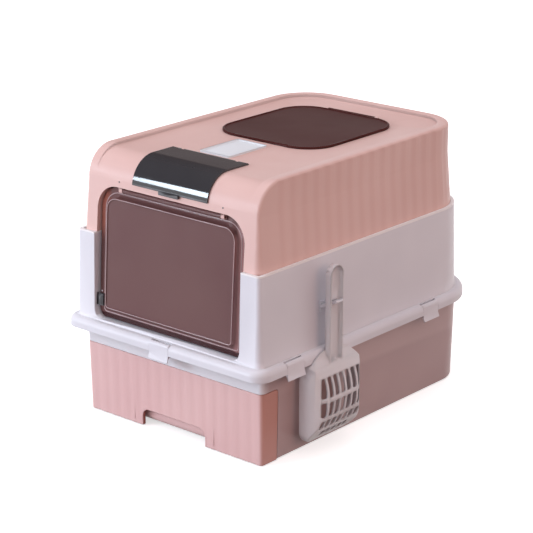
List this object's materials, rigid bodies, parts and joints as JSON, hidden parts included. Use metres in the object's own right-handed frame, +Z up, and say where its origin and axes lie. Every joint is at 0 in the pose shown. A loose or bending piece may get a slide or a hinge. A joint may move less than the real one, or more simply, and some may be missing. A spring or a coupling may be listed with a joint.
{
  "type": "drawer litter box",
  "caption": "Covered cat litter box with a pull-out litter drawer, a lift-off fluted cover, a smoked swing door, a top hatch, a deodoriser box, side clips and a hung scoop",
  "frame": {"origin": "on the floor under the plan centre of the middle shell", "axes": "X across the width to the scoop's side, Y from the door's end to the rear, Z up"},
  "size_m": [0.4023, 0.5336, 0.3985],
  "materials": {
    "milky_tub": "milky translucent polypropylene, satin",
    "pink_drawer": "pale pink polypropylene, satin, fluted front",
    "white_shell": "white polypropylene, satin",
    "pink_cover": "pale pink polypropylene, satin, softly fluted sides",
    "smoked_clear": "smoked translucent polypropylene, glossy",
    "smoked_black": "nearly black smoked plastic, glossy",
    "carbon_felt": "black activated-carbon felt",
    "white_clip": "white acetal, satin",
    "scoop_white": "white slightly translucent polypropylene"
  },
  "bodies": {
    "base": {"base_shell": "milky_tub", "middle_shell": "white_shell", "scoop_hook": "white_shell"},
    "drawer": {"drawer_front": "pink_drawer", "drawer_pan": "pink_drawer"},
    "cover": {"top_cover": "pink_cover", "deodoriser_cup": "smoked_black", "carbon_pad": "carbon_felt"},
    "door": {"front_door": "smoked_clear"},
    "latch": {"door_latch": "smoked_clear", "latch_plate": "smoked_clear"},
    "hatch": {"top_hatch": "smoked_clear"},
    "deodoriser_lid_body": {"deodoriser_lid": "smoked_black"},
    "front_clip_body": {"front_clip": "white_clip"},
    "rear_clip_body": {"rear_clip": "white_clip"},
    "right_front_clip_body": {"right_front_clip": "white_clip"},
    "right_rear_clip_body": {"right_rear_clip": "white_clip"},
    "left_front_clip_body": {"left_front_clip": "white_clip"},
    "left_rear_clip_body": {"left_rear_clip": "white_clip"},
    "scoop": {"litter_scoop": "scoop_white"}
  },
  "joints": [
    {"name": "drawer_slide", "type": "slide", "parent": "base", "child": "drawer", "axis": [0, -1, 0], "range_m": [0, 0.4]},
    {"name": "cover_lift", "type": "slide", "parent": "base", "child": "cover", "axis": [0, 0, 1], "range_m": [0, 0.16]},
    {"name": "door_swing", "type": "hinge", "parent": "cover", "child": "door", "pos_m": [0, -0.2323, 0.344], "axis": [-1, 0, 0], "range_deg": [0, 80]},
    {"name": "latch_slide", "type": "slide", "parent": "door", "child": "latch", "axis": [-1, 0, 0], "range_m": [0, 0.0045]},
    {"name": "hatch_swing", "type": "hinge", "parent": "cover", "child": "hatch", "pos_m": [0, 0.1629, 0.3959], "axis": [-1, 0, 0], "range_deg": [0, 105]},
    {"name": "deodoriser_lid_swing", "type": "hinge", "parent": "cover", "child": "deodoriser_lid_body", "pos_m": [0, -0.1543, 0.39505], "axis": [-1, 0, 0], "range_deg": [0, 85]},
    {"name": "front_clip_swing", "type": "hinge", "parent": "base", "child": "front_clip_body", "pos_m": [0, -0.26, 0.1446], "axis": [-1, 0, 0], "range_deg": [0, 90]},
    {"name": "rear_clip_swing", "type": "hinge", "parent": "base", "child": "rear_clip_body", "pos_m": [0, 0.26, 0.1446], "axis": [1, 0, 0], "range_deg": [0, 90]},
    {"name": "right_front_clip_swing", "type": "hinge", "parent": "base", "child": "right_front_clip_body", "pos_m": [0.1835, -0.1905, 0.1446], "axis": [0, -1, 0], "range_deg": [0, 90]},
    {"name": "right_rear_clip_swing", "type": "hinge", "parent": "base", "child": "right_rear_clip_body", "pos_m": [0.1835, 0.1185, 0.1446], "axis": [0, -1, 0], "range_deg": [0, 90]},
    {"name": "left_front_clip_swing", "type": "hinge", "parent": "base", "child": "left_front_clip_body", "pos_m": [-0.1835, -0.1905, 0.1446], "axis": [0, 1, 0], "range_deg": [0, 90]},
    {"name": "left_rear_clip_swing", "type": "hinge", "parent": "base", "child": "left_rear_clip_body", "pos_m": [-0.1835, 0.1185, 0.1446], "axis": [0, 1, 0], "range_deg": [0, 90]},
    {"name": "scoop_lift", "type": "slide", "parent": "base", "child": "scoop", "axis": [0.9063, 0, 0.4226], "range_m": [0, 0.06]}
  ]
}
